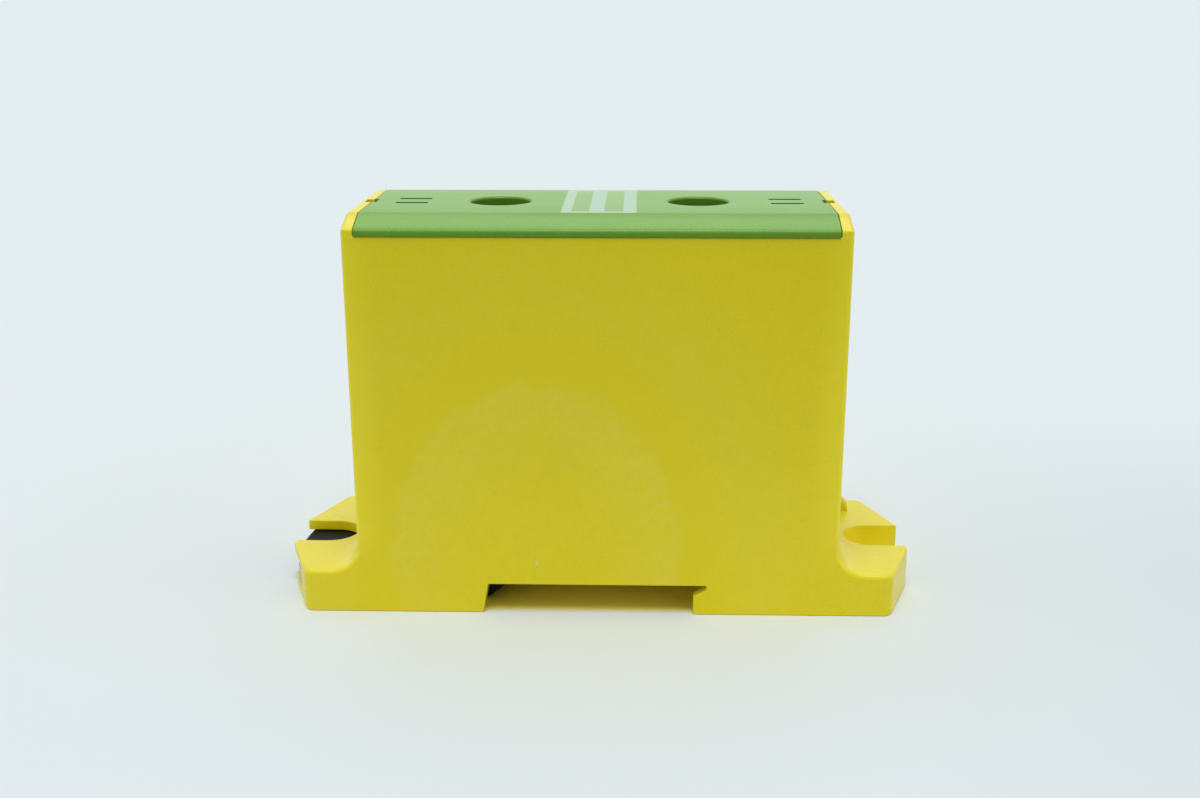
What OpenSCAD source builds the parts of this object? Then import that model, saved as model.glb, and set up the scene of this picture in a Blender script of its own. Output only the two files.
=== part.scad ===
// Rail-mounted earth terminal block for stout aluminium and copper conductors.
// Millimetres. X runs along the conductors, Y along the mounting rail, Z up.
// The origin is the middle of the base, on the surface that the block stands on.

/* [Body] */
// Length of the body between its two end faces
body_length = 79.5; // [74:0.5:92]
// Depth of the body along the rail
body_depth = 36; // [33:0.5:44]
// Height of the body to its flat top
body_height = 66.4; // [63:0.2:76]
// Thickness of the two broad walls
side_wall = 2.4; // [1.8:0.1:3]
// Thickness of the end walls and of the end frames above them
end_wall = 2; // [1.6:0.1:2.6]
// Thickness of the floor over the rail slot
floor_t = 2.6; // [1.8:0.1:4]
// Rounding of the housing's outer edges
edge_r = 0.8; // [0.3:0.1:1.1]
// Bore of the round cable entry in each end wall
entry_d = 28; // [24:0.5:30]
// Chamfer round the mouth of each cable entry
entry_chamfer = 0.8; // [0.3:0.1:1.2]

/* [Top cover] */
// Upright band of the cover on the broad sides
lip_h = 1.1; // [0.6:0.1:2]
// How far the top slope runs in from each broad side
slope_run = 5; // [3:0.1:7]
// Rise of the top slope
slope_rise = 1.9; // [1.2:0.1:3]
// Rounding between the upright band and the top slope
lip_edge_r = 0.8; // [0.2:0.1:0.8]
// Thickness of the cover under its flat top
cover_t = 1.6; // [1.2:0.1:2]
// Gap between the cover and each end frame
cover_gap = 0.1; // [0.1:0.05:0.5]
// How far the cover stands out over the broad walls
cover_overhang = 0.2; // [0:0.05:0.4]
// Diameter of the two key holes
key_hole_d = 10; // [8:0.1:12]
// Chamfer round the key holes
key_hole_chamfer = 0.3; // [0.1:0.1:0.6]
// Length of the short slits near the ends
slit_length = 5.3; // [3:0.1:8]
// Width of each slit
slit_w = 1.1; // [0.5:0.1:1.5]
// Distance between the two slits of a pair
slit_pitch = 4.7; // [3:0.1:8]
// Distance from each end frame to the middle of a slit
slit_inset = 6.85; // [5.5:0.05:9]
// Width of the notch in the middle of each end frame where a screwdriver lifts the cover
notch_w = 3.4; // [2:0.1:6]
// Depth of that notch below the flat top
notch_depth = 2; // [1.4:0.1:2.6]
// Reach of that notch into the end frame
notch_frame_reach = 1.1; // [0.6:0.1:1.4]
// Reach of that notch into the cover
notch_cover_reach = 0.7; // [0.4:0.1:1.4]
// Depth of the cover's skirts inside the broad walls
skirt_depth = 5; // [4:0.1:6]
// Thickness of the skirts
skirt_t = 1.2; // [0.8:0.1:1.6]
// Clearance between a skirt and the wall beside it
skirt_play = 0.2; // [0.1:0.05:0.4]
// Length of the snap ridge on each skirt
snap_length = 40; // [20:1:56]
// How far the snap ridge stands out of the skirt
snap_reach = 0.5; // [0.3:0.05:0.7]

/* [Feet] */
// Height of the feet
foot_h = 7.3; // [6.6:0.1:10]
// Reach of the foot tips beyond the end faces
foot_reach = 13.7; // [12:0.1:18]
// Reach of the feet at the broad sides
foot_corner_reach = 9; // [8:0.1:11]
// Rounding of the feet's upright edges
foot_corner_r = 1.9; // [1.2:0.1:2.6]
// Hollow fillet between foot and end wall
foot_fillet_r = 4.5; // [3:0.1:6.6]
// Width of the open fixing slot in each foot
fixing_slot_w = 9.2; // [5:0.1:10]
// Distance from the end face to the closed end of the fixing slot
fixing_slot_inset = 3.4; // [2.6:0.1:4.4]
// Diameter of the clearance for the head of the fixing screw
screw_head_d = 15.2; // [11:0.1:15.6]
// Blunt width of the foot tip beside the slot
foot_tip_w = 0.9; // [0.8:0.1:1.5]
// Rounding of the foot tips and of the slot's mouth
tip_edge_r = 0.6; // [0.3:0.1:0.7]
// Thickness of the small gusset behind the right foot's slot
gusset_t = 2.4; // [1:0.1:3]
// Distance of the gusset from the rear broad side
gusset_inset = 3.9; // [3:0.1:5]
// Reach of the gusset over the foot
gusset_reach = 5.8; // [4:0.1:7]
// Upright edge of the gusset before it slopes back to the wall
gusset_edge_h = 1.5; // [1:0.1:3]
// Rounding between that edge and the slope
gusset_edge_r = 1.4; // [0.5:0.1:2]

/* [Rail slot] */
// Width of the mounting rail
rail_w = 35; // [32:0.5:38]
// Room for the rail beyond its own width
rail_play = 1.2; // [0.6:0.1:2]
// Depth of the rail slot
rail_slot_h = 5.1; // [4.6:0.1:6.5]
// Room for the rail's flange above the hooks
flange_room = 1.2; // [1:0.1:1.6]
// Height of the wall above the fixed hook's sloping face
hook_room = 0.75; // [0.6:0.05:1.2]
// Reach of the fixed hook
hook_reach = 2.1; // [1.2:0.1:3]
// Fall of the fixed hook's sloping face
hook_drop = 1.2; // [0.8:0.1:2]
// Outward slant of the slot wall on the latch side
slot_slant = 0.9; // [0:0.1:1.5]

/* [Rail latch] */
// Width of the latch
latch_w = 25; // [20:0.5:27]
// Thickness of the latch plate
latch_h = 3.65; // [3:0.05:4]
// Thickness of the strip that carries the latch at the foot's end
strip_t = 1.5; // [1:0.1:1.8]
// Length of that strip from the foot's tip
strip_length = 7.4; // [6:0.1:8]
// Width of the ledges that carry the latch's edges
ledge_w = 1.1; // [0.6:0.1:2]
// Sliding clearance round the latch
latch_play = 0.15; // [0.1:0.05:0.25]
// Travel of the latch when it is pulled
latch_travel = 3; // [2:0.1:3.5]
// Distance of the latch's outer end behind the foot's end faces
latch_recess = 0.1; // [0.1:0.1:1]
// Radius of the latch's round outer end
latch_end_r = 30; // [26:0.5:40]
// Bevel on the latch's outer end
latch_bevel = 0.5; // [0.3:0.1:1.5]
// Wall between the rail slot and the latch's shoulder
nose_wall = 2.9; // [2:0.1:4]
// Reach of the latch's nose into the rail slot
nose_reach = 2.6; // [1.6:0.1:3]
// Blunt edge of the nose
nose_edge_h = 1.1; // [0.6:0.1:1.3]
// Length of the sloping lead-in under the nose
nose_lead = 3; // [2:0.1:3.4]
// Height of the nose above the base
nose_lift = 0.4; // [0.3:0.1:0.8]

/* [Latch spring] */
// Outer diameter of the spring
spring_d = 4.2; // [3.6:0.1:4.4]
// Wire of the spring
spring_wire = 0.5; // [0.4:0.05:0.6]
// Length of the fitted spring
spring_length = 11.4; // [9:0.1:13]
// Turns of the spring
spring_turns = 7; // [5:1:9]
// Distance from the latch's shoulder to the spring seat
spring_inset = 6; // [4:0.1:7]
// Thickness of the post that the spring stands against
post_t = 2; // [1.5:0.1:3]
// Diameter of the spigots inside the spring
spigot_d = 2.4; // [1.6:0.1:2.5]
// Length of the spigots
spigot_length = 2; // [1:0.1:2.5]

/* [Conductor block] */
// Gap between the block and the broad walls, taken up by ribs
block_side_gap = 1.6; // [1:0.1:2.5]
// Gap between the block and the end walls, taken up by ribs
block_end_gap = 7.75; // [5:0.25:10]
// Distance from the top of the block up to the parting line
block_top_gap = 7.4; // [6.5:0.1:9]
// Rounding of the block's long edges
block_edge_r = 4; // [1:0.5:6]
// Clearance between the block and the ribs that hold it
block_play = 0.2; // [0.1:0.05:0.4]
// Conductor bore through the block
bore_d = 20.6; // [16:0.1:22]
// Metal under the conductor bore
bore_floor = 4.7; // [4:0.1:7]
// Chamfer at the mouths of the conductor bore
bore_chamfer = 1.2; // [0.4:0.1:2]
// Thread diameter of the clamp screws
thread_d = 16; // [13:0.5:18]
// Distance from each end of the block to its clamp screw
screw_inset = 13.6; // [12:0.2:15]
// Thickness of the ribs inside the housing
rib_t = 1.6; // [1:0.1:2.4]
// Distance from each end of the block to the ribs beside it
side_rib_inset = 8; // [4:0.5:14]
// Distance from the middle of the block to the end ribs
end_rib_y = 8; // [4:0.5:10]

/* [Clamp screws] */
// Length of each clamp screw
screw_length = 24; // [18:0.5:27]
// Radial clearance of the screw in its thread
thread_play = 0.05; // [0.02:0.01:0.1]
// Distance of the screw's tip above the conductor bore when it is screwed out
tip_clear = 1; // [0.5:0.1:2]
// Width across flats of the hexagon socket
key_af = 8; // [6:0.5:9]
// Depth of the hexagon socket
socket_depth = 10; // [7:0.5:12]
// Length of the cone at the screw's tip
tip_cone = 2.5; // [1:0.1:4]
// Chamfer round the screw's top
screw_chamfer = 0.8; // [0.4:0.1:1.5]

/* [Base coring] */
// Thickness of the ribs between the hollows under the right foot, which carry the hook
core_rib = 1.8; // [1.2:0.1:2.5]
// Wall left round the hollows
core_wall = 2; // [1.6:0.1:2.6]
// Depth of the hollows
core_h = 5; // [3:0.1:5]

/* [Hidden] */
$fn = 96;

// Overlap that makes neighbouring solids of one piece grow together, and cuts run clear
over = 0.5;

// Body levels and half sizes
half_length = body_length / 2;
half_depth = body_depth / 2;
slope_z = body_height - slope_rise;
slope_angle = atan(slope_rise / slope_run);
slope_length = slope_rise / sin(slope_angle);
parting_z = slope_z - lip_h;
floor_z = rail_slot_h + floor_t;
inner_half_length = half_length - end_wall;
inner_half_depth = half_depth - side_wall;

// Rail slot
slot_half = (rail_w + rail_play) / 2;
hook_z = rail_slot_h - hook_room - hook_drop;

// Feet, with every place measured from the middle of the body
tip_x = half_length + foot_reach;
corner_x = half_length + foot_corner_reach;
tip_half_w = fixing_slot_w / 2 + foot_tip_w;
foot_angle = atan((half_depth - tip_half_w) / (tip_x - corner_x));
corner_cut = foot_corner_r * tan(foot_angle / 2);
slot_centre_x = half_length + fixing_slot_inset + fixing_slot_w / 2;

// Rows of hollows under the right foot, and of gaps between the hook's ribs
core_rows = 3;
core_y = -half_depth + core_wall;
core_d = (-2 * core_y - (core_rows - 1) * core_rib) / core_rows;

// Conductor block
block_length = 2 * (inner_half_length - block_end_gap);
block_width = 2 * (inner_half_depth - block_side_gap);
block_top = parting_z - block_top_gap;
bore_z = floor_z + bore_floor + bore_d / 2;
screw_x = block_length / 2 - screw_inset;
side_rib_x = block_length / 2 - side_rib_inset;
tip_z = bore_z + bore_d / 2 + tip_clear;
screw_r = thread_d / 2 - thread_play;

// Cover
cover_length = 2 * (inner_half_length - cover_gap);
slit_x = inner_half_length - slit_inset;
skirt_y = inner_half_depth - skirt_play;
skirt_length = 2 * (inner_half_length - 3);
snap_z = parting_z - skirt_depth + 1;
snap_rise = 0.5;
snap_fall = 0.9;
snap_room = 0.3;

// Rail latch and its channel, measured from the latch side of the rail slot
latch_z = strip_t + latch_play;
latch_top = latch_z + latch_h;
channel_top = latch_top + latch_play;
channel_half = latch_w / 2 + latch_play;
nose_top = rail_slot_h - flange_room;
stop_x = -slot_half - nose_wall;
shoulder_x = stop_x - 2 * latch_play;
nose_back_x = shoulder_x - nose_edge_h;
nose_tip_x = -slot_half + nose_reach;
ledge_end_x = nose_back_x - latch_travel - 1;
strip_x = -tip_x + strip_length;
keel_x = strip_x + latch_travel + over;
keel_half = channel_half - ledge_w - 2 * latch_play;

// Latch spring, between the latch's seat and the housing's post
spring_seat_x = shoulder_x - spring_inset;
spring_play = 0.1;
post_x = spring_seat_x - spring_length - 2 * spring_play;
post_half_w = spring_d / 2;
post_gap = 0.6;
spring_z = latch_z + latch_h / 2;
spring_room = 0.3;
window_half_w = spring_d / 2 + spring_room;

// Shapes drawn as (Y, Z) and extruded along X, about the middle
module along_x(length) {
    rotate([90, 0, 90])
        linear_extrude(length, center = true)
            children();
}

// Shapes drawn as (X, Z) and extruded along Y, about the middle
module along_y(length) {
    rotate([90, 0, 0])
        linear_extrude(length, center = true)
            children();
}

// A cylinder along X that starts at x and runs the given length
module rod_x(x, y, z, r, length) {
    translate([x, y, z])
        rotate([0, 90, 0])
            cylinder(r = r, h = length);
}

// A box between two corners
module box(low, high) {
    translate(low)
        cube(high - low);
}

// A rectangle with round corners, standing on the Y axis of the drawing
module rounded_rect(w, h, r) {
    translate([-w / 2 + r, 0])
        square([w - 2 * r, h]);
    translate([-w / 2, r])
        square([w, h - 2 * r]);
    for (side = [-1, 1], level = [r, h - r])
        translate([side * (w / 2 - r), level])
            circle(r);
}

// End outline of the block: upright sides rounded into two slopes, and a flat top
module end_outline(bottom, overhang = 0) {
    side_y = half_depth + overhang;
    slope = atan(slope_rise / (slope_run + overhang));
    tangent = lip_edge_r * tan((90 - slope) / 2);
    side_z = slope_z - tangent;
    shoulder_y = side_y - tangent * cos(slope);
    shoulder_z = slope_z + tangent * sin(slope);
    intersection() {
        union() {
            polygon([
                [-side_y, bottom],
                [side_y, bottom],
                [side_y, side_z],
                [shoulder_y, shoulder_z],
                [half_depth - slope_run, body_height],
                [-half_depth + slope_run, body_height],
                [-shoulder_y, shoulder_z],
                [-side_y, side_z]
            ]);
            for (side = [-1, 1])
                translate([side * (side_y - lip_edge_r), side_z])
                    circle(lip_edge_r);
        }
        translate([-side_y, bottom])
            square([2 * side_y, body_height - bottom]);
    }
}

// What is taken off a square edge to round it, with the material towards +X and +Y
module edge_waste(r = edge_r) {
    difference() {
        translate([-over, -over])
            square(r + over);
        translate([r, r])
            circle(r);
    }
}

// The same, for material towards -X and -Y
module far_edge_waste(r = edge_r) {
    rotate(180)
        edge_waste(r);
}

// Rounds the front edges of the end towards +X: down the wall, round the fillet, along the foot,
// round its corner, and along its slanted side
module front_edges() {
    fillet_x = half_length + foot_fillet_r;
    fillet_z = foot_h + foot_fillet_r;
    translate([half_length, -half_depth, fillet_z])
        linear_extrude(body_height - fillet_z)
            rotate(90)
                edge_waste();
    translate([fillet_x, -half_depth, fillet_z])
        rotate([-90, 90, 0])
            rotate_extrude(angle = 90)
                translate([foot_fillet_r, 0])
                    edge_waste();
    translate([fillet_x, -half_depth, foot_h])
        rotate([90, 0, 90])
            linear_extrude(corner_x - corner_cut - fillet_x)
                rotate(-90)
                    edge_waste();
    translate([corner_x - corner_cut, foot_corner_r - half_depth, foot_h])
        rotate(foot_angle - 90) {
            mirror([0, 1, 0])
                rotate_extrude(angle = foot_angle)
                    translate([foot_corner_r, 0])
                        far_edge_waste();
            translate([foot_corner_r, foot_reach, 0])
                rotate([90, 0, 0])
                    linear_extrude(foot_reach)
                        far_edge_waste();
        }
}

// Rounds the tip of the foot towards +X: its top edge, and the slot's mouth in front
module tip_edges() {
    translate([tip_x, 0, foot_h])
        rotate([90, 0, 0])
            linear_extrude(half_depth)
                far_edge_waste(tip_edge_r);
    translate([tip_x, -fixing_slot_w / 2, -over])
        linear_extrude(foot_h + 2 * over)
            far_edge_waste(tip_edge_r);
}

// Rounds the top edges of the end frame towards +X: along the front slope and half the flat top
module frame_edges() {
    translate([half_length, -half_depth, slope_z])
        rotate([90 + slope_angle, 0, 0])
            linear_extrude(2 * slope_length, center = true)
                far_edge_waste();
    translate([half_length, 0, body_height])
        rotate([90, 0, 0])
            linear_extrude(half_depth)
                far_edge_waste();
}

// Plan of one foot, towards +X: a trapezium with round corners that narrows to a blunt tip
module foot_plan() {
    slant_x = corner_x + corner_cut * cos(foot_angle);
    slant_y = half_depth - corner_cut * sin(foot_angle);
    polygon([
        [0, -half_depth],
        [corner_x - corner_cut, -half_depth],
        [slant_x, -slant_y],
        [tip_x, -tip_half_w],
        [tip_x, tip_half_w],
        [slant_x, slant_y],
        [corner_x - corner_cut, half_depth],
        [0, half_depth]
    ]);
    for (side = [-1, 1])
        translate([corner_x - corner_cut, side * (half_depth - foot_corner_r)])
            circle(foot_corner_r);
}

// One foot towards +X, with its hollow fillet against the end wall
module foot() {
    linear_extrude(foot_h)
        intersection() {
            foot_plan();
            translate([slot_half, -half_depth])
                square([tip_x, body_depth]);
        }
    along_y(body_depth)
        translate([half_length, foot_h])
            difference() {
                translate([-over, -over])
                    square(foot_fillet_r + over);
                translate([foot_fillet_r, foot_fillet_r])
                    circle(foot_fillet_r);
            }
}

// Open fixing slot of one foot, with room for the screw head in the fillet above it
module fixing_slot() {
    translate([slot_centre_x, 0, -over]) {
        cylinder(d = fixing_slot_w, h = foot_h + foot_fillet_r + over);
        translate([0, -fixing_slot_w / 2, 0])
            cube([foot_reach, fixing_slot_w, foot_h + foot_fillet_r + over]);
    }
    translate([slot_centre_x, 0, foot_h])
        cylinder(d = screw_head_d, h = foot_fillet_r + over);
}

// Cable entry through one end wall and through the fillet in front of it, towards +X
module cable_entry() {
    rod_x(inner_half_length - over, 0, bore_z, entry_d / 2, end_wall + foot_fillet_r + 2 * over);
    translate([half_length - entry_chamfer, 0, bore_z])
        rotate([0, 90, 0])
            cylinder(r1 = entry_d / 2, r2 = entry_d / 2 + entry_chamfer, h = entry_chamfer);
    rod_x(half_length, 0, bore_z, entry_d / 2 + entry_chamfer, foot_fillet_r + over);
}

// Slot for the mounting rail, with the fixed hook on the right as a row of ribs
module rail_slot() {
    along_y(body_depth + 2 * over)
        polygon([
            [-slot_half - slot_slant, 0],
            [-slot_half - slot_slant, -over],
            [slot_half - hook_reach, -over],
            [slot_half - hook_reach, hook_z],
            [slot_half, rail_slot_h - hook_room],
            [slot_half, rail_slot_h],
            [-slot_half, rail_slot_h]
        ]);
    for (row = [0:core_rows - 1])
        translate([0, core_y + row * (core_d + core_rib), -over])
            cube([slot_half, core_d, rail_slot_h + over]);
}

// Channel that the latch slides in: open below, with ledges, and with a strip at the foot's end
module latch_channel() {
    far_x = -tip_x - over;
    box([far_x, -channel_half, strip_t], [stop_x, channel_half, channel_top]);
    box(
        [strip_x, -channel_half + ledge_w, -over],
        [stop_x, channel_half - ledge_w, strip_t + over]
    );
    box(
        [ledge_end_x, -channel_half, -over],
        [-slot_half + over, channel_half, nose_top + latch_play]
    );
    rod_x(post_x, 0, spring_z, window_half_w, spring_seat_x - post_x);
}

// Post for the latch spring, with its spigot
module spring_post() {
    box([post_x - post_t, -post_half_w, latch_z], [post_x, post_half_w, channel_top + over]);
    rod_x(post_x - over, 0, spring_z, spigot_d / 2, spigot_length + over);
}

// Hollows under the right foot, in rows and columns, clear of the fixing slot
module base_coring() {
    columns = 3;
    x0 = slot_half + core_wall;
    x1 = corner_x - core_wall;
    w = (x1 - x0 - (columns - 1) * core_rib) / columns;
    for (column = [0:columns - 1], row = [0:core_rows - 1])
        if (column < columns - 1 || row != 1)
            translate([x0 + column * (w + core_rib), core_y + row * (core_d + core_rib), -over])
                cube([w, core_d, core_h + over]);
}

// Ribs that hold the conductor block away from the walls
module block_ribs() {
    for (side = [-1, 1], end = [-1, 1])
        scale([end, side, 1])
            box(
                [side_rib_x - rib_t / 2, block_width / 2 + block_play, floor_z - over],
                [side_rib_x + rib_t / 2, inner_half_depth + over, block_top]
            );
    for (side = [-1, 1], end = [-1, 1])
        translate([0, side * end_rib_y, 0])
            scale([end, 1, 1])
                box(
                    [block_length / 2 + block_play, -rib_t / 2, bore_z + entry_d / 2 + 1],
                    [inner_half_length + over, rib_t / 2, block_top]
                );
}

// Notch across the joint of cover and end frame where a screwdriver lifts the cover
module lifting_notches() {
    for (end = [-1, 1])
        scale([end, 1, 1])
            box(
                [
                    inner_half_length - cover_gap - notch_cover_reach,
                    -notch_w / 2,
                    body_height - notch_depth
                ],
                [inner_half_length + notch_frame_reach, notch_w / 2, body_height + over]
            );
}

// Small gusset between the end wall and the right foot, near the rear, sloping at 45 degrees
module foot_gusset() {
    edge_x = half_length + gusset_reach;
    edge_z = foot_h + gusset_edge_h;
    tangent = gusset_edge_r * tan(45 / 2);
    step = tangent * sin(45);
    translate([0, half_depth - gusset_inset - gusset_t / 2, 0])
        along_y(gusset_t) {
            polygon([
                [half_length - end_wall / 2, foot_h - over],
                [edge_x, foot_h - over],
                [edge_x, edge_z - tangent],
                [edge_x - step, edge_z + step],
                [half_length, edge_z + gusset_reach],
                [half_length - end_wall / 2, edge_z + gusset_reach]
            ]);
            translate([edge_x - gusset_edge_r, edge_z - tangent])
                circle(gusset_edge_r);
        }
}

// Yellow moulded housing: walls, end frames, floor with the rail slot, and two feet
module housing() {
    color([0.88, 0.82, 0.16]) {
        difference() {
            union() {
                along_x(body_length)
                    end_outline(0);
                foot();
                mirror([1, 0, 0])
                    foot();
                foot_gusset();
            }
            box(
                [-inner_half_length, -inner_half_depth, floor_z],
                [inner_half_length, inner_half_depth, body_height + over]
            );
            box(
                [-inner_half_length, -half_depth - over, parting_z],
                [inner_half_length, half_depth + over, body_height + over]
            );
            along_x(snap_length + 2 * snap_room)
                for (side = [-1, 1])
                    scale([side, 1])
                        translate([inner_half_depth - over, snap_z - snap_room])
                            square([
                                over + snap_reach,
                                snap_rise + snap_fall + 2 * snap_room
                            ]);
            cable_entry();
            fixing_slot();
            mirror([1, 0, 0]) {
                cable_entry();
                fixing_slot();
            }
            rail_slot();
            latch_channel();
            base_coring();
            for (end = [-1, 1], side = [-1, 1])
                scale([end, side, 1]) {
                    front_edges();
                    tip_edges();
                    frame_edges();
                }
            lifting_notches();
        }
        block_ribs();
        spring_post();
    }
}

// Green moulded cover, snapped in between the end frames
module top_cover() {
    color([0.5, 0.7, 0.36])
        difference() {
            union() {
                difference() {
                    along_x(cover_length)
                        end_outline(parting_z, cover_overhang);
                    along_x(cover_length + 2 * over)
                        translate([-skirt_y + skirt_t, parting_z - over])
                            square([
                                2 * (skirt_y - skirt_t),
                                body_height - cover_t - parting_z + over
                            ]);
                }
                along_x(skirt_length)
                    for (side = [-1, 1])
                        scale([side, 1])
                            translate([skirt_y - skirt_t, parting_z - skirt_depth])
                                square([skirt_t, skirt_depth + over]);
                along_x(snap_length)
                    for (side = [-1, 1])
                        scale([side, 1])
                            polygon([
                                [skirt_y - skirt_t / 2, snap_z],
                                [skirt_y, snap_z],
                                [skirt_y + snap_reach, snap_z + snap_fall],
                                [skirt_y, snap_z + snap_fall + snap_rise],
                                [skirt_y - skirt_t / 2, snap_z + snap_fall + snap_rise]
                            ]);
                box(
                    [-rib_t / 2, -skirt_y + skirt_t - over, block_top + block_play],
                    [rib_t / 2, skirt_y - skirt_t + over, body_height - cover_t + over]
                );
            }
            for (side = [-1, 1]) {
                translate([side * screw_x, 0, parting_z])
                    cylinder(d = key_hole_d, h = body_height);
                translate([side * screw_x, 0, body_height - key_hole_chamfer])
                    cylinder(
                        d1 = key_hole_d,
                        d2 = key_hole_d + 4 * key_hole_chamfer,
                        h = 2 * key_hole_chamfer
                    );
                for (row = [-1, 1])
                    translate([side * slit_x, row * slit_pitch / 2, body_height])
                        cube([slit_length, slit_w, 2 * (cover_t + over)], center = true);
            }
            lifting_notches();
        }
}

// Tin-plated aluminium block with the through bore and two threaded holes
module conductor_block() {
    color([0.78, 0.79, 0.8])
        difference() {
            along_x(block_length)
                translate([0, floor_z])
                    rounded_rect(block_width, block_top - floor_z, block_edge_r);
            rod_x(-block_length / 2 - over, 0, bore_z, bore_d / 2, block_length + 2 * over);
            for (end = [0, 180])
                rotate([0, 0, end])
                    translate([block_length / 2 - bore_chamfer, 0, bore_z])
                        rotate([0, 90, 0])
                            cylinder(
                                r1 = bore_d / 2,
                                r2 = bore_d / 2 + 2 * bore_chamfer,
                                h = 2 * bore_chamfer
                            );
            for (side = [-1, 1])
                translate([side * screw_x, 0, bore_z])
                    cylinder(d = thread_d, h = block_top);
        }
}

// Hexagon-socket clamp screw with a conical tip, screwed out clear of the conductor bore
module clamp_screw(x) {
    color([0.55, 0.55, 0.57])
        translate([x, 0, tip_z])
            difference() {
                rotate_extrude()
                    polygon([
                        [0, 0],
                        [screw_r - tip_cone, 0],
                        [screw_r, tip_cone],
                        [screw_r, screw_length - screw_chamfer],
                        [screw_r - screw_chamfer, screw_length],
                        [0, screw_length]
                    ]);
                translate([0, 0, screw_length - socket_depth])
                    cylinder(r = key_af / 2 / cos(30), h = socket_depth + over, $fn = 6);
            }
}

module clamp_screw_left() {
    clamp_screw(-screw_x);
}

module clamp_screw_right() {
    clamp_screw(screw_x);
}

// Plan of the latch plate: the foot's own end, set back, up to the shoulder
module latch_plan() {
    intersection() {
        translate([latch_recess, 0])
            mirror([1, 0])
                foot_plan();
        translate([-tip_x, -latch_w / 2])
            square([tip_x + shoulder_x, latch_w]);
    }
}

// What the latch's plate is kept within: a disc that gives its outer end the round and the bevel
module latch_end() {
    translate([-tip_x + latch_recess + latch_end_r, 0, 0]) {
        cylinder(r = latch_end_r, h = latch_top - latch_bevel);
        translate([0, 0, latch_top - latch_bevel])
            cylinder(r1 = latch_end_r, r2 = latch_end_r - latch_bevel, h = latch_bevel);
    }
}

// Black moulded latch: plate, keel between the ledges, and the nose that holds the rail
module rail_latch() {
    color([0.17, 0.17, 0.15])
        difference() {
            union() {
                intersection() {
                    translate([0, 0, latch_z])
                        linear_extrude(latch_h)
                            latch_plan();
                    latch_end();
                }
                box([keel_x, -keel_half, nose_lift], [shoulder_x, keel_half, latch_z + over]);
                along_y(latch_w)
                    polygon([
                        [nose_back_x, nose_lift],
                        [nose_tip_x - nose_lead, nose_lift],
                        [nose_tip_x, nose_top - nose_edge_h],
                        [nose_tip_x, nose_top],
                        [nose_back_x, nose_top]
                    ]);
            }
            difference() {
                box(
                    [post_x - post_t - post_gap, -window_half_w, -over],
                    [spring_seat_x, window_half_w, latch_top + over]
                );
                rod_x(spring_seat_x - spigot_length, 0, spring_z, spigot_d / 2, spigot_length + over);
            }
        }
}

// Steel compression spring of the latch, with one closed turn at each end
module latch_spring() {
    sides = 8;
    steps = 16;
    coil_r = (spring_d - spring_wire) / 2;
    reach = spring_length - spring_wire;
    rings = spring_turns * steps;
    closed = spring_wire * 1.1;
    function advance(turn) =
        turn < 1 ? closed * turn
        : turn > spring_turns - 1 ? reach - closed * (spring_turns - turn)
        : closed + (reach - 2 * closed) * (turn - 1) / (spring_turns - 2);
    function wire_point(ring, side) =
        let (
            turn = ring / steps,
            swing = 360 * turn,
            round = 360 * side / sides,
            r = coil_r + spring_wire / 2 * cos(round)
        )
        [advance(turn) + spring_wire / 2 * sin(round), r * cos(swing), r * sin(swing)];
    points = [
        for (ring = [0:rings], side = [0:sides - 1]) wire_point(ring, side)
    ];
    walls = [
        for (ring = [0:rings - 1], side = [0:sides - 1])
            let (
                a = ring * sides + side,
                b = ring * sides + (side + 1) % sides
            )
            each [[a, b, b + sides], [a, b + sides, a + sides]]
    ];
    first = [for (side = [sides - 1:-1:0]) side];
    last = [for (side = [0:sides - 1]) rings * sides + side];
    color([0.62, 0.63, 0.65])
        translate([post_x + spring_play + spring_wire / 2, 0, spring_z])
            polyhedron(points, concat(walls, [first, last]));
}

housing();
top_cover();
conductor_block();
clamp_screw_left();
clamp_screw_right();
rail_latch();
latch_spring();
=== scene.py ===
import bpy
import bmesh
import math
from mathutils import Matrix, Vector


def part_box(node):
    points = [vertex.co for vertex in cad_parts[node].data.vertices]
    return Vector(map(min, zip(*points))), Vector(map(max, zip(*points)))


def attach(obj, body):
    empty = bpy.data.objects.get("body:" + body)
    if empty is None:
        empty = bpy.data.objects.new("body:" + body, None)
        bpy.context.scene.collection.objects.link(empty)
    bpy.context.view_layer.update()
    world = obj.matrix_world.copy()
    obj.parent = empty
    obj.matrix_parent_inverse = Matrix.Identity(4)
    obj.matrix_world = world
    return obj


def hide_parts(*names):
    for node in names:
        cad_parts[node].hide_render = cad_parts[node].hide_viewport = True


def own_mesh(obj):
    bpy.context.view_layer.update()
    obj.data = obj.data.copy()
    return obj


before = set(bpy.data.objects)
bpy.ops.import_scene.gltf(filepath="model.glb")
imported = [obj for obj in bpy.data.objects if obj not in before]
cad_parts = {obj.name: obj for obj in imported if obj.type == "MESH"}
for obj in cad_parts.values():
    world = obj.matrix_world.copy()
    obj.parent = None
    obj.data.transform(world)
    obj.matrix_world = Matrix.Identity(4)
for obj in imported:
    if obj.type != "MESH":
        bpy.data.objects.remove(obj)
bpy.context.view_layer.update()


# Housing: the yellow body with its end frames, floor, rail slot and two feet, one moulding in
# polyamide. The mould leaves a fine eroded grain, a gate mark low on the broad face, and a pale
# ring round it where the melt slowed. A paler yellow painted near the ends of the broad faces
# stands for light glowing through the edges. A deeper, brighter yellow painted in the open slots
# stands for light bounced between the slot walls.
MM = 0.001
HALF_LENGTH, HALF_DEPTH, FOOT_HEIGHT = 39.75, 18.0, 7.3
SLOT_END_X, SLOT_HALF_WIDTH = 43.15, 4.6
HOUSING_EDGE = 0.22 * MM
GUSSET_EDGE = 0.9 * MM
GUSSET_BOX = ((39.8, 11.5, 7.35), (46.0, 14.3, 16.0))
SHARP_ANGLE = math.radians(35)
BROAD_FACE_Y = -17.6
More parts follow.
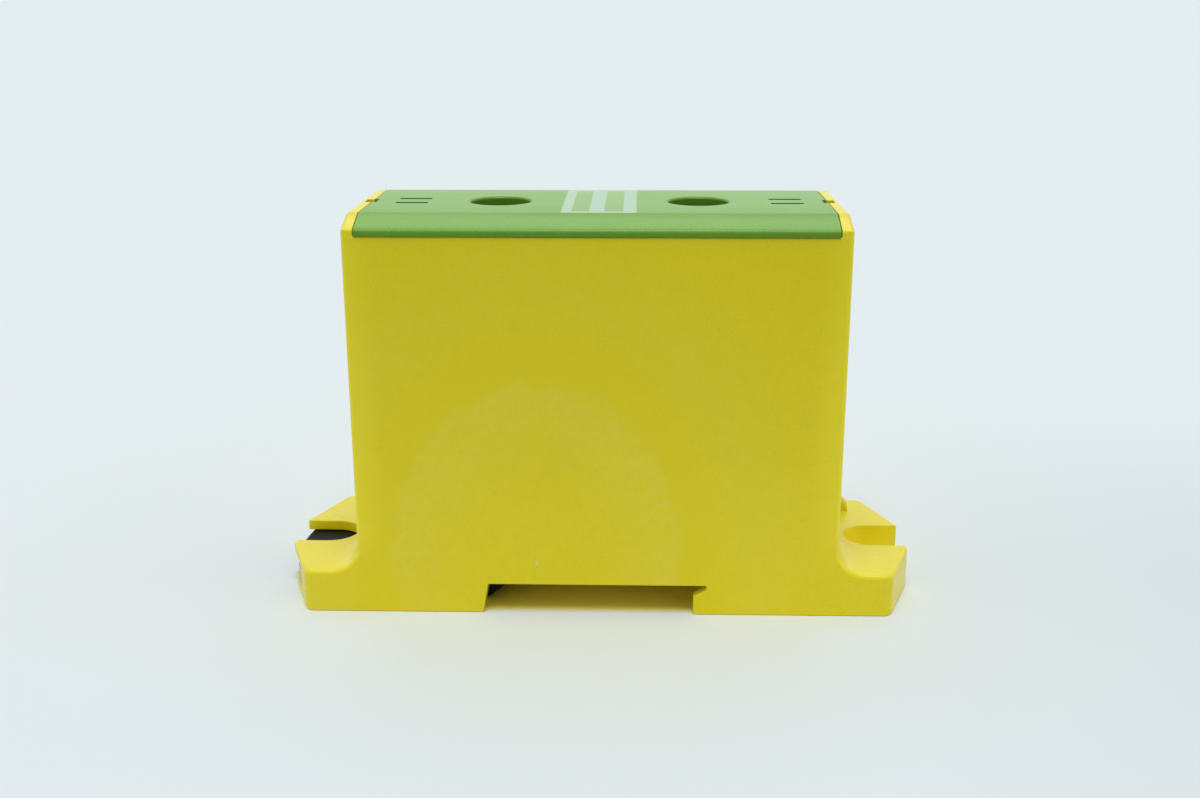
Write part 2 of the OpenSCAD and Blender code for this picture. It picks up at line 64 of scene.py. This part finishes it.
GATE_X, GATE_Z = -9.9, 9.0
RING_HALF_WIDTH, RING_HEIGHT = 23.5, 30.5
CLOUDS_PER_MM, FLOWS_PER_MM, GRAINS_PER_MM = 0.045, 0.5, 3.4
YELLOW_DEEP, YELLOW, YELLOW_PALE = (232, 213, 2), (235, 217, 9), (239, 221, 32)
STARVED_YELLOW, VEILED_YELLOW, GATE_YELLOW = (235, 216, 0), (238, 226, 110), (238, 230, 150)
SLOT_BOUNCE_YELLOW, EDGE_GLOW_YELLOW = (250, 227, 0), (255, 238, 44)


def room_beside(edge, face):
    """How far a face reaches from the middle of one of its edges, square to the edge."""
    first, last = (vert.co for vert in edge.verts)
    middle = (first + last) / 2
    along = (last - first).normalized()
    inward = face.normal.cross(along)
    if inward.dot(face.calc_center_median() - middle) < 0:
        inward.negate()
    reach = []
    for other in face.edges:
        (a, c), (b, d) = (
            ((vert.co - middle).dot(along), (vert.co - middle).dot(inward)) for vert in other.verts)
        if other != edge and a * b <= 0 and a != b:
            reach.append(abs(c + (d - c) * a / (a - b)))
    return min(reach, default=0)


def is_sharp(edge):
    """Whether an edge stands out, and isn't an inner corner."""
    return edge.is_manifold and edge.calc_face_angle_signed() > SHARP_ANGLE


def round_over(form, edges, width, segments):
    """Rounds edges by a width, in place."""
    bmesh.ops.bevel(
        form, geom=edges, offset=width, offset_type="OFFSET", segments=segments,
        profile=0.5, affect="EDGES", clamp_overlap=False)


def broken_edges(node, name, width, round_box=None, round_width=0):
    """A copy of a node's mesh as a piece of its own, with its sharp edges broken where the
    faces beside them have room, and with those inside a box, in millimetres, well rounded."""
    form = bmesh.new()
    form.from_mesh(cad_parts[node].data)
    bmesh.ops.remove_doubles(form, verts=form.verts, dist=0.005 * MM)
    bmesh.ops.dissolve_limit(
        form, angle_limit=math.radians(0.2), verts=form.verts, edges=form.edges)
    if round_box:
        boxed = [
            edge for edge in form.edges if is_sharp(edge) and all(
                low * MM <= at <= high * MM
                for vert in edge.verts for at, low, high in zip(vert.co, *round_box))]
        round_over(form, boxed, round_width, segments=5)
    room = {
        edge: min(room_beside(edge, face) for face in edge.link_faces)
        for edge in form.edges if is_sharp(edge)}
    sharp = [edge for edge in room if room[edge] > 2 * width]
    touched = {vert for edge in sharp for vert in edge.verts}
    sharp += [
        edge for edge in room
        if width < room[edge] <= 2 * width and edge.calc_length() < 2 * width
        and touched.issuperset(edge.verts)]
    round_over(form, sharp, width, segments=2)
    bmesh.ops.remove_doubles(form, verts=form.verts, dist=0.001 * MM)
    form.verts.index_update()
    low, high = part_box(node)
    points = [
        [min(max(at, least), most) for at, least, most in zip(vert.co, low, high)]
        for vert in form.verts]
    faces = [[vert.index for vert in face.verts] for face in form.faces]
    form.free()
    return solid_piece(name, points, faces)


def solid_piece(name, points, faces, smooth_below=40):
    """An object from points and faces, smooth apart from its real edges."""
    mesh = bpy.data.meshes.new(name)
    mesh.from_pydata(points, [], faces)
    mesh.validate()
    mesh.shade_smooth()
    mesh.set_sharp_from_angle(angle=math.radians(smooth_below))
    piece = bpy.data.objects.new(name, mesh)
    bpy.context.scene.collection.objects.link(piece)
    weighted = piece.modifiers.new("even shading", "WEIGHTED_NORMAL")
    weighted.keep_sharp = True
    return piece


def tint(card):
    """A colour as read off a colour card, 0 to 255, for a shader socket."""
    def linear(level):
        level /= 255
        return level / 12.92 if level <= 0.04045 else ((level + 0.055) / 1.055) ** 2.4
    return (*map(linear, card), 1.0)


class Value:
    """A socket of a material; arithmetic on it adds Math nodes."""

    def __init__(self, socket):
        self.socket = socket

    def node(self, kind, settings, sockets, output=0):
        """Adds a node: its settings first, then the values or links of its sockets."""
        tree = self.socket.id_data
        made = tree.nodes.new("ShaderNode" + kind)
        for name, setting in settings.items():
            setattr(made, name, setting)
        live = [socket for socket in made.inputs if not socket.is_unavailable]
        named = sockets.items() if isinstance(sockets, dict) else enumerate(sockets)
        for key, value in named:
            socket = live[key] if isinstance(key, int) else next(s for s in live if s.name == key)
            if isinstance(value, Value):
                tree.links.new(value.socket, socket)
            else:
                socket.default_value = value
        return Value([socket for socket in made.outputs if not socket.is_unavailable][output])

    def math(self, operation, *terms):
        return self.node("Math", {"operation": operation}, terms)

    def __add__(self, other):
        return self.math("ADD", self, other)

    def __sub__(self, other):
        return self.math("SUBTRACT", self, other)

    def __rsub__(self, other):
        return self.math("SUBTRACT", other, self)

    def __mul__(self, other):
        return self.math("MULTIPLY", self, other)

    def __pow__(self, other):
        return self.math("POWER", self, other)

    def __lt__(self, other):
        return self.math("LESS_THAN", self, other)

    def __gt__(self, other):
        return self.math("GREATER_THAN", self, other)

    def __abs__(self):
        return self.math("ABSOLUTE", self)

    __radd__ = __add__
    __rmul__ = __mul__

    def rise(self, low, high):
        """0 below low and 1 above high, with a soft step between them."""
        return self.node(
            "MapRange", {"interpolation_type": "SMOOTHSTEP"},
            {"Value": self, "From Min": low, "From Max": high})

    def band(self, start, full, fading, gone):
        """1 from full to fading, and softly down to 0 at start and at gone."""
        return self.rise(start, full) * (1 - self.rise(fading, gone))

    def mix(self, first, second):
        """This value as a mask from the first colour to the second."""
        return self.node(
            "Mix", {"data_type": "RGBA"}, {"Factor": self, "A": first, "B": second})

    def noise(self, scale, detail=2.0, rough=0.5):
        """Noise at this place, scale in features per millimetre."""
        return self.node(
            "TexNoise", {}, {"Vector": self, "Scale": scale, "Detail": detail, "Roughness": rough})

    def stretch(self, x, y, z):
        """This place with its axes scaled."""
        return self.node("VectorMath", {"operation": "MULTIPLY"}, [self, (x, y, z)])

    def axes(self):
        """The three numbers of this place."""
        return [self.node("SeparateXYZ", {}, [self], output=axis) for axis in range(3)]


def distance(across, along):
    """How far a place lies from an axis, from its two offsets."""
    return (across * across + along * along) ** 0.5


def new_finish(name):
    """A new material: its shader, and the place on the part in millimetres."""
    finish = bpy.data.materials.new(name)
    finish.use_nodes = True
    nodes = finish.node_tree.nodes
    shader = next(node for node in nodes if node.type == "BSDF_PRINCIPLED")
    place = Value(nodes.new("ShaderNodeTexCoord").outputs["Object"])
    return finish, shader, place.stretch(1 / MM, 1 / MM, 1 / MM)


def fill(shader, sockets):
    """Sets or links the shader's own sockets."""
    for name, value in sockets.items():
        if isinstance(value, Value):
            shader.id_data.links.new(value.socket, shader.inputs[name])
        else:
            shader.inputs[name].default_value = value


def moulded(place, deep, full, pale, polish, relief):
    """Colour, roughness and grain of a satin polyamide moulding."""
    cloud = place.noise(CLOUDS_PER_MM, 2.0)
    flow = place.noise(FLOWS_PER_MM, 3.0, 0.6)
    grain = place.noise(GRAINS_PER_MM, 2.0, 0.6)
    tone = 0.5 + (cloud - 0.5) * 0.6 + (flow - 0.5) * 0.8 + (grain - 0.5) * 2.2
    darker = tone.rise(-0.1, 0.55).mix(tint(deep), tint(full))
    colour = tone.rise(0.45, 1.1).mix(darker, tint(pale))
    rough = polish + (grain - 0.5) * 0.14 + (flow - 0.5) * 0.08
    normal = grain.node(
        "Bump", {}, {"Strength": relief, "Distance": 0.02 * MM, "Height": grain + flow * 0.5})
    return colour, rough, normal


housing = broken_edges(
    "housing", "housing_moulding", HOUSING_EDGE, round_box=GUSSET_BOX, round_width=GUSSET_EDGE)
yellow, shader, place = new_finish("yellow polyamide")
colour, rough, normal = moulded(
    place, YELLOW_DEEP, YELLOW, YELLOW_PALE, polish=0.3, relief=0.25)
x, y, z = place.axes()
spread = distance((x - GATE_X) * (1 / RING_HALF_WIDTH), (z - GATE_Z) * (1 / RING_HEIGHT))
ragged = spread + (place.noise(0.3, 5.0, 0.75) - 0.5) * 0.3
on_broad_face = y < BROAD_FACE_Y
slowed = ragged.band(0.4, 0.96, 0.97, 1.06)
starved = ragged.band(0.99, 1.05, 1.1, 1.35)
after = ragged.band(1.3, 1.45, 1.6, 1.9)
speckle = place.noise(0.9, 4.0, 0.7).rise(0.3, 0.75)
veil = (slowed + after * 0.4) * on_broad_face
gate = (1 - spread.rise(0.006, 0.02)) * on_broad_face
colour = (starved * on_broad_face).mix(colour, tint(STARVED_YELLOW))
colour = (veil * speckle * 0.3).mix(colour, tint(VEILED_YELLOW))
colour = (gate * 0.5).mix(colour, tint(GATE_YELLOW))
# Painted bounce light: the slot walls of the feet are tinted a deeper, brighter yellow.
beside_slot = abs(y) < SLOT_HALF_WIDTH + 0.05
in_slot = beside_slot * (abs(x) > SLOT_END_X - 0.05) * (z < FOOT_HEIGHT - 0.1)
colour = in_slot.mix(colour, tint(SLOT_BOUNCE_YELLOW))
# Painted light: the broad faces are tinted paler towards their vertical edges at the ends, for
# light glowing through the edges.
to_end = abs(x).rise(HALF_LENGTH - 6, HALF_LENGTH)
at_end = abs(x).rise(HALF_LENGTH - 1, HALF_LENGTH - 0.1)
at_side = abs(y).rise(HALF_DEPTH - 0.9, HALF_DEPTH - 0.3)
painted_edge_glow = (to_end + at_end) * 0.45 * at_side * z.rise(FOOT_HEIGHT, FOOT_HEIGHT + 8)
colour = painted_edge_glow.mix(colour, tint(EDGE_GLOW_YELLOW))
fill(shader, {
    "Base Color": colour,
    "Roughness": rough + veil * 0.03 + in_slot * 0.3,
    "Specular IOR Level": 0.38,
    "Normal": normal})
housing.data.materials.append(yellow)
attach(housing, "terminal")
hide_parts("housing")


# Rail latch: the black plate that slides in the left foot and hooks under the mounting rail.
# Moulded in black polyamide, with a keel between the housing's ledges, a spring window, and an
# outer end rubbed to a gloss.
LATCH_EDGE = 0.25 * MM
LATCH_CURVE_X, LATCH_CURVE_R = -23.35, 30.0
BLACK_DEEP, BLACK, BLACK_PALE = (11, 11, 7), (15, 15, 10), (24, 24, 16)

latch = broken_edges("rail_latch", "rail_latch_moulding", LATCH_EDGE)
black, shader, place = new_finish("black polyamide")
colour, rough, normal = moulded(
    place, BLACK_DEEP, BLACK, BLACK_PALE, polish=0.6, relief=0.35)
x, y, z = place.axes()
rim = distance(x - LATCH_CURVE_X, y).rise(LATCH_CURVE_R - 0.7, LATCH_CURVE_R - 0.4)
fill(shader, {
    "Base Color": colour,
    "Roughness": rough,
    "Specular IOR Level": 0.15,
    "Coat Weight": rim,
    "Coat Roughness": 0.12,
    "Normal": normal})
latch.data.materials.append(black)
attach(latch, "latch")
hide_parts("rail_latch")


# Latch spring: a compression spring in the latch's window that pushes the latch to the rail.
# Coiled from drawn steel wire, one closed turn at each end, held on two moulded spigots.
SPRING_START_X, SPRING_END_X = -38.8, -27.4
SPRING_Z = 3.475
SPRING_OUTER_D, SPRING_WIRE = 4.2, 0.5
SPRING_TURNS = 7
WIRE_SIDES, TURN_STEPS = 12, 40
WIRE_DULL, WIRE_BRIGHT = (150, 151, 152), (196, 198, 200)

points, faces = [], []
coil_r = (SPRING_OUTER_D - SPRING_WIRE) / 2
reach = SPRING_END_X - SPRING_START_X - SPRING_WIRE
closed = 1.1 * SPRING_WIRE
rings = SPRING_TURNS * TURN_STEPS
for step in range(rings + 1):
    turn = step / TURN_STEPS
    if turn < 1:
        along = closed * turn
    elif turn > SPRING_TURNS - 1:
        along = reach - closed * (SPRING_TURNS - turn)
    else:
        along = closed + (reach - 2 * closed) * (turn - 1) / (SPRING_TURNS - 2)
    swing = math.tau * turn
    for side in range(WIRE_SIDES):
        round_wire = math.tau * side / WIRE_SIDES
        r = coil_r + SPRING_WIRE / 2 * math.cos(round_wire)
        points.append(MM * Vector((
            SPRING_START_X + SPRING_WIRE / 2 + along + SPRING_WIRE / 2 * math.sin(round_wire),
            r * math.cos(swing),
            SPRING_Z + r * math.sin(swing))))
for step in range(rings):
    for side in range(WIRE_SIDES):
        a, b = step * WIRE_SIDES + side, step * WIRE_SIDES + (side + 1) % WIRE_SIDES
        faces.append((a, a + WIRE_SIDES, b + WIRE_SIDES, b))
faces.append(tuple(range(WIRE_SIDES)))
faces.append(tuple(rings * WIRE_SIDES + side for side in reversed(range(WIRE_SIDES))))
spring = solid_piece("latch_coil_spring", points, faces)
wire, shader, place = new_finish("drawn spring wire")
drawn = place.stretch(1.0, 6.0, 6.0).noise(1.5, 3.0, 0.6)
fill(shader, {
    "Base Color": drawn.mix(tint(WIRE_DULL), tint(WIRE_BRIGHT)),
    "Metallic": 1.0,
    "Roughness": 0.22 + drawn * 0.2})
spring.data.materials.append(wire)
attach(spring, "terminal")
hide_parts("latch_spring")
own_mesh(spring)


# Conductor block: the clamp body that carries the current between the two conductors.
# Sawn from extruded aluminium, drilled and tapped, then tin-plated; it stands on the floor.
BLOCK_EDGE = 0.4 * MM
BORE_Z = 22.7
BLOCK_END_X = 29.7
TIN_DULL, TIN_BRIGHT = (176, 178, 180), (218, 219, 219)

block = broken_edges("conductor_block", "conductor_block_body", BLOCK_EDGE)
tinned, shader, place = new_finish("tin-plated aluminium")
x, y, z = place.axes()
from_bore = distance(y, z - BORE_Z)
drawn = place.stretch(0.04, 3.0, 3.0).noise(1.0, 4.0, 0.65)
turned = from_bore.node(
    "TexNoise", {"noise_dimensions": "1D"}, {"W": from_bore, "Scale": 2.2, "Detail": 3.0})
frost = place.noise(0.8, 3.0, 0.6)
on_end = abs(x) > BLOCK_END_X
lines = drawn * (1 - on_end) + turned * on_end
shade = lines * 0.6 + frost * 0.4
fill(shader, {
    "Base Color": shade.rise(0.25, 0.75).mix(tint(TIN_DULL), tint(TIN_BRIGHT)),
    "Metallic": 1.0,
    "Roughness": 0.3 + frost * 0.2,
    "Normal": lines.node(
        "Bump", {}, {"Strength": 0.3, "Distance": 0.03 * MM, "Height": lines})})
block.data.materials.append(tinned)
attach(block, "terminal")
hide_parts("conductor_block")


# Clamp screws: two grub screws that press the conductors into the bore, tightened from above.
# Steel, turned, with a rolled thread and a pressed hexagon socket, then zinc-plated.
SCREW_X = 16.4
SCREW_LOW, SCREW_HIGH = 34.0, 58.0
SCREW_R = 7.95
THREAD_PITCH, THREAD_DEPTH = 2.0, 1.15
TIP_CONE, TOP_CHAMFER = 2.5, 0.8
SOCKET_FLATS, SOCKET_DEPTH, SOCKET_POINT = 8.0, 10.0, 1.6
SOCKET_MOUTH_R, SOCKET_MOUTH_DEPTH = 5.0, 0.5
SCREW_SIDES, THREAD_ROWS = 72, 16
SOCKET_CORNER_DEGREES = 60
ZINC_DULL, ZINC_BRIGHT = (150, 152, 154), (190, 191, 190)

zinc, shader, place = new_finish("zinc-plated steel")
film = place.noise(0.35, 3.0, 0.6)
tooling = place.stretch(0.3, 0.3, 5.0).noise(1.0, 3.0, 0.6)
fill(shader, {
    "Base Color": (film * 0.6 + tooling * 0.4).rise(0.3, 0.7).mix(
        tint(ZINC_DULL), tint(ZINC_BRIGHT)),
    "Metallic": 1.0,
    "Roughness": 0.24 + tooling * 0.22,
    "Normal": tooling.node(
        "Bump", {}, {"Strength": 0.2, "Distance": 0.02 * MM, "Height": tooling})})


def screw_skin(z):
    """Radius of the blank that the thread is rolled on, with its cone and chamfer."""
    cone = SCREW_R - TIP_CONE + (z - SCREW_LOW)
    chamfer = SCREW_R - TOP_CHAMFER + (SCREW_HIGH - z)
    return min(SCREW_R, cone, chamfer)


def thread_r(turns):
    """Radius along a thread of blunt crests and roots, at a number of turns."""
    ridge = abs(2 * (turns % 1.0) - 1)
    return SCREW_R - THREAD_DEPTH * min(1.0, max(0.0, 1.35 * ridge - 0.15))


def socket_r(angle):
    """Distance from the middle to the socket's hexagon wall at an angle."""
    return SOCKET_FLATS / 2 / math.cos((angle + math.pi / 6) % (math.pi / 3) - math.pi / 6)


def clamp_screw(node, name, body, screw_x):
    """A screw, ring by ring from its tip up the thread and down into its socket."""
    points, faces = [], []

    def ring(radius, z):
        for side in range(SCREW_SIDES):
            angle = math.tau * side / SCREW_SIDES
            r = radius(angle)
            points.append(MM * Vector((screw_x + r * math.cos(angle), r * math.sin(angle), z)))
        return len(points) - SCREW_SIDES

    def join(lower, upper):
        for side in range(SCREW_SIDES):
            after = (side + 1) % SCREW_SIDES
            faces.append((lower + side, lower + after, upper + after, upper + side))

    def close(first, z, up):
        points.append(MM * Vector((screw_x, 0, z)))
        for side in range(SCREW_SIDES):
            pair = (first + side, first + (side + 1) % SCREW_SIDES)
            faces.append((pair if up else pair[::-1]) + (len(points) - 1,))

    rows = round((SCREW_HIGH - SCREW_LOW) / THREAD_PITCH * THREAD_ROWS)
    last = None
    for row in range(rows + 1):
        turns = row / THREAD_ROWS
        z = SCREW_LOW + turns * THREAD_PITCH
        made = ring(lambda angle: min(screw_skin(z), thread_r(turns - angle / math.tau)), z)
        if row:
            join(last, made)
        else:
            close(made, z, False)
        last = made
    for radius, z in (
            (lambda angle: SOCKET_MOUTH_R, SCREW_HIGH),
            (socket_r, SCREW_HIGH - SOCKET_MOUTH_DEPTH),
            (socket_r, SCREW_HIGH - SOCKET_DEPTH + SOCKET_POINT)):
        made = ring(radius, z)
        join(last, made)
        last = made
    close(last, SCREW_HIGH - SOCKET_DEPTH, True)
    screw = solid_piece(name, points, faces, smooth_below=SOCKET_CORNER_DEGREES - 1)
    screw.data.materials.append(zinc)
    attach(screw, body)
    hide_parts(node)


clamp_screw("clamp_screw_left", "clamp_screw_left_threaded", "left_screw", -SCREW_X)
clamp_screw("clamp_screw_right", "clamp_screw_right_threaded", "right_screw", SCREW_X)


# Top cover: the green lid snapped in between the end frames, with a hole over each screw and
# two pairs of slits. Moulded in green polyamide, with a pale field and two bars printed across
# its middle. Painted shade: a deeper green in the slits and holes, on the lip and on the inner
# faces.
COVER_EDGE = 0.08 * MM
COVER_TOP, COVER_UNDERSIDE = 66.4, 64.8
SKIRT_Y, LIP_Y = 15.6, 18.15
KEY_HOLE_X, KEY_HOLE_R, KEY_HOLE_CHAMFER = 16.4, 5.0, 0.25
SLIT_NEAR_X, SLIT_FAR_X, SLIT_REACH_Y = 28.2, 33.6, 3.2
FIELD_LEFT, FIELD_RIGHT, FIELD_HALF_DEPTH = -5.75, 6.2, 12.9
BARS, BAR_HALF_DEPTH = ((-4.1, -1.3), (1.1, 4.1)), 11.5
GREEN_DEEP, GREEN, GREEN_PALE = (102, 155, 32), (110, 163, 38), (121, 172, 52)
LIP_SHADE_GREEN, SLIT_SHADE_GREEN, HOLE_SHADE_GREEN = (52, 100, 8), (38, 88, 0), (44, 92, 4)
INSIDE_SHADE_GREEN = (34, 46, 14)
FIELD_INK, BAR_INK = (176, 203, 177), (122, 170, 54)

cover = broken_edges("top_cover", "top_cover_moulding", COVER_EDGE)
green, shader, place = new_finish("green polyamide")
colour, rough, normal = moulded(
    place, GREEN_DEEP, GREEN, GREEN_PALE, polish=0.34, relief=0.3)
x, y, z = place.axes()


def between(value, low, high, blur=0.08):
    """1 from low to high, with the blur of a printed edge."""
    return value.band(low - blur, low + blur, high - blur, high + blur)


# Painted shade: the lip is tinted a deeper green.
on_lip = abs(y) > LIP_Y
colour = (on_lip * 0.26).mix(colour, tint(LIP_SHADE_GREEN))
# Painted shade: the slit walls are tinted a dark green.
below_top = 1 - z.rise(COVER_TOP - 0.02, COVER_TOP)
in_slit = between(abs(x), SLIT_NEAR_X, SLIT_FAR_X) * (abs(y) < SLIT_REACH_Y) * below_top
colour = in_slit.mix(colour, tint(SLIT_SHADE_GREEN))
# Painted shade: the hole walls and chamfers are tinted a darker green.
over_hole = distance(abs(x) - KEY_HOLE_X, y) < KEY_HOLE_R + KEY_HOLE_CHAMFER
in_hole = over_hole * (1 - z.rise(COVER_TOP - KEY_HOLE_CHAMFER, COVER_TOP))
colour = (in_hole * 0.35).mix(colour, tint(HOLE_SHADE_GREEN))
# Painted shade: the cover's inner faces are tinted a dark brown-green.
inside = (z < COVER_UNDERSIDE - 0.05) * (abs(y) < SKIRT_Y)
colour = (inside * 0.6).mix(colour, tint(INSIDE_SHADE_GREEN))
on_top = z > COVER_TOP - 0.1
ink = place.noise(1.4, 3.0, 0.6)
field = between(x, FIELD_LEFT, FIELD_RIGHT) * between(y, -FIELD_HALF_DEPTH, FIELD_HALF_DEPTH)
colour = (field * on_top * (0.78 + ink * 0.2)).mix(colour, tint(FIELD_INK))
bars = sum(between(x, *bar) for bar in BARS) * between(y, -BAR_HALF_DEPTH, BAR_HALF_DEPTH)
colour = (bars * on_top * (0.8 + ink * 0.2)).mix(colour, tint(BAR_INK))
fill(shader, {
    "Base Color": colour,
    "Roughness": rough + in_slit * 0.5,
    "Specular IOR Level": 0.32,
    "Normal": normal})
cover.data.materials.append(green)
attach(cover, "terminal")
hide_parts("top_cover")


# Table, light and camera: a pale seamless table, with a soft light above the block's front and a
# weaker one behind it. The table throws less light back the further it lies from the block. It
# carries a painted shade on the right, and a painted yellow glow under the rail slot for the light
# that the slot's yellow walls throw down on it.
TABLE_HALF = 30.0
TABLE_FRONT, TABLE_BACK, TABLE_SHADE = (226, 231, 237), (228, 232, 235), (217, 223, 227)
FRONT_FADE_Y = (-60.0, -20.0)
SHADE_X, SHADE_Y = (20.0, 130.0), (-10.0, 110.0)
SLOT_GLOW, SLOT_GLOW_X, SLOT_GLOW_Y = (252, 235, 122), (19.5, 21.0), (15.5, 18.0)
THROWN_NEAR, THROWN_FAR = (230, 231, 231), (70, 72, 72)
LIT_R, DARK_R = 90.0, 310.0
ROOM_LEVEL, SIDE_LEVEL = 0.16, 0.9
BACKDROP_LEVEL, MIRRORED_LEVEL = 0.84, 1.0
UNLIT, LIGHT_TINT = (0.0, 0.0, 0.0, 1.0), (0.955, 1.0, 1.0, 1.0)
CAMERA_RAY, DIFFUSE_RAY, GLOSSY_RAY = 0, 2, 3
CAMERA_PLACE = Vector((6.643, -227.535, 99.337)) * MM
CAMERA_YAW, CAMERA_PITCH, CAMERA_ROLL = -1.659, 16.456, -0.108
FOCAL_PIXELS, PICTURE_PIXELS = 1371.0, 1200

table_mesh = bpy.data.meshes.new("table")
table_mesh.from_pydata(
    [(-TABLE_HALF, -TABLE_HALF, 0), (TABLE_HALF, -TABLE_HALF, 0),
     (TABLE_HALF, TABLE_HALF, 0), (-TABLE_HALF, TABLE_HALF, 0)], [], [(0, 1, 2, 3)])
table = bpy.data.objects.new("table", table_mesh)
bpy.context.scene.collection.objects.link(table)
pale, shader, place = new_finish("pale table")
x, y, z = place.axes()
thrown = distance(x, y).rise(LIT_R, DARK_R).mix(tint(THROWN_NEAR), tint(THROWN_FAR))
colour = y.rise(*FRONT_FADE_Y).mix(tint(TABLE_FRONT), tint(TABLE_BACK))
# Painted shade: the table is tinted darker to the right front of the block.
on_right = x.rise(*SHADE_X) * (1 - y.rise(*SHADE_Y))
colour = on_right.mix(colour, tint(TABLE_SHADE))
# Painted glow: the table under the rail slot is tinted yellow, for light bounced down from the
# slot's walls.
under_slot = (1 - abs(x).rise(*SLOT_GLOW_X)) * (1 - abs(y).rise(*SLOT_GLOW_Y))
colour = under_slot.mix(colour, tint(SLOT_GLOW))
fill(shader, {
    "Base Color": x.node("LightPath", {}, [], DIFFUSE_RAY).mix(colour, thrown),
    "Roughness": 0.8,
    "Specular IOR Level": 0.0})
table.data.materials.append(pale)

world = bpy.data.worlds.new("studio")
world.use_nodes = True
sky = next(node for node in world.node_tree.nodes if node.type == "BACKGROUND")
ray = Value(sky.outputs[0])
by_camera = ray.node("LightPath", {}, [], CAMERA_RAY)
by_gloss = ray.node("LightPath", {}, [], GLOSSY_RAY)
sideways = ray.node("TexCoord", {}, []).axes()[0]
walls = ROOM_LEVEL + SIDE_LEVEL * sideways * sideways
level = walls + by_camera * (BACKDROP_LEVEL - walls) + by_gloss * (MIRRORED_LEVEL - walls)
fill(sky, {"Color": level.mix(UNLIT, LIGHT_TINT), "Strength": 1.0})
bpy.context.scene.world = world


def hang_light(name, level, tilt, spread):
    """A distant lamp that gives a white surface this level, tilted from overhead to the front."""
    lamp = bpy.data.lights.new(name, "SUN")
    lamp.energy = level * math.pi
    lamp.color = LIGHT_TINT[:3]
    lamp.angle = math.radians(spread)
    hung = bpy.data.objects.new(name, lamp)
    hung.rotation_euler = (math.radians(tilt), 0, 0)
    bpy.context.scene.collection.objects.link(hung)


hang_light("overhead softbox", level=0.52, tilt=18, spread=32)
hang_light("rear softbox", level=0.2, tilt=-34, spread=50)

yaw, pitch, roll = (math.radians(a) for a in (CAMERA_YAW, CAMERA_PITCH, CAMERA_ROLL))
ahead = Vector((math.sin(yaw), math.cos(yaw), 0))
right = Vector((math.cos(yaw), -math.sin(yaw), 0))
up = Vector((0, 0, 1))
ahead, up = (math.cos(pitch) * ahead - math.sin(pitch) * up,
             math.cos(pitch) * up + math.sin(pitch) * ahead)
right, up = (math.cos(roll) * right + math.sin(roll) * up,
             math.cos(roll) * up - math.sin(roll) * right)
camera = bpy.data.cameras.new("camera")
camera.sensor_fit = "HORIZONTAL"
camera.sensor_width = 36.0
camera.lens = camera.sensor_width * FOCAL_PIXELS / PICTURE_PIXELS
camera.clip_start = 0.01
camera.clip_end = 100.0
camera_object = bpy.data.objects.new("camera", camera)
turn = Matrix((right, up, -ahead)).transposed().to_4x4()
camera_object.matrix_world = Matrix.Translation(CAMERA_PLACE) @ turn
bpy.context.scene.collection.objects.link(camera_object)
bpy.context.scene.camera = camera_object
bpy.context.scene.view_settings.view_transform = "Standard"
